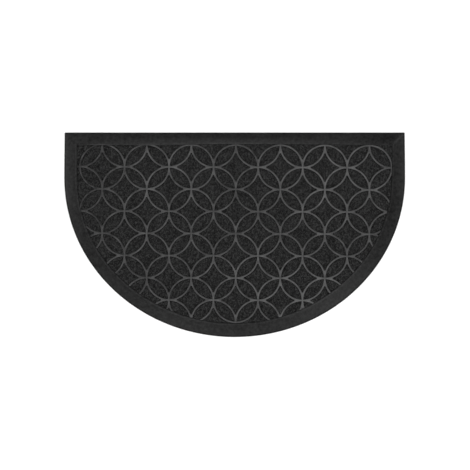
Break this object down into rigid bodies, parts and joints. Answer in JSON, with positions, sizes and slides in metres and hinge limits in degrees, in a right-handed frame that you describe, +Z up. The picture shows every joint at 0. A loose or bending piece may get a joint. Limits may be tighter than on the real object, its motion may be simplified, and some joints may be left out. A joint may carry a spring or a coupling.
{
  "type": "half moon entrance mat",
  "caption": "Half moon door mat: felt face in a rubber base with a sloped border, with raised ridges in a pattern of overlapping circles, for wiping shoes.",
  "frame": {"origin": "centre of the mat's box, on its underside", "axes": "+X along the straight edge, +Y towards the straight edge, +Z up out of the felt face"},
  "size_m": [0.75, 0.45, 0.007],
  "materials": {
    "base_rubber": "matt, moulded with a fine grain",
    "face_felt": "needle-punched felt, matt and fibrous",
    "ridge_rubber": "smooth, satin"
  },
  "bodies": {
    "root": {"rubber_base": "base_rubber", "felt_face": "face_felt", "ridge_net": "ridge_rubber"}
  },
  "joints": []
}
